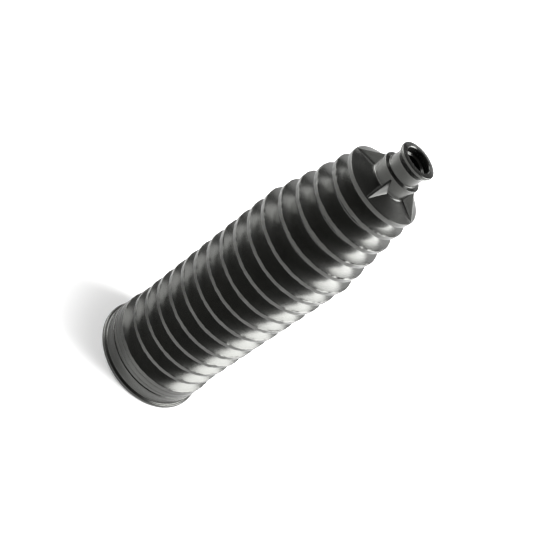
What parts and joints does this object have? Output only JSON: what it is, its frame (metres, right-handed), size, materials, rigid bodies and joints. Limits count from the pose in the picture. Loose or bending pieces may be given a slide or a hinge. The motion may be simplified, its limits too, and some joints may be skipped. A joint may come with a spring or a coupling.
{
  "type": "bellows boot",
  "caption": "Long rubber bellows boot with a wide clamped cuff at one end, tapering folds, and a ribbed neck with a narrow clamped mouth at the other.",
  "frame": {"origin": "centre of the large mouth, in the plane of its rim", "axes": "+Z along the boot's axis towards the small mouth; +X and +Y pass through two of the ribs on the shoulder"},
  "size_m": [0.0636, 0.0636, 0.1962],
  "materials": {
    "rubber": "satin"
  },
  "bodies": {
    "root": {"bellows_boot": "rubber"}
  },
  "joints": []
}
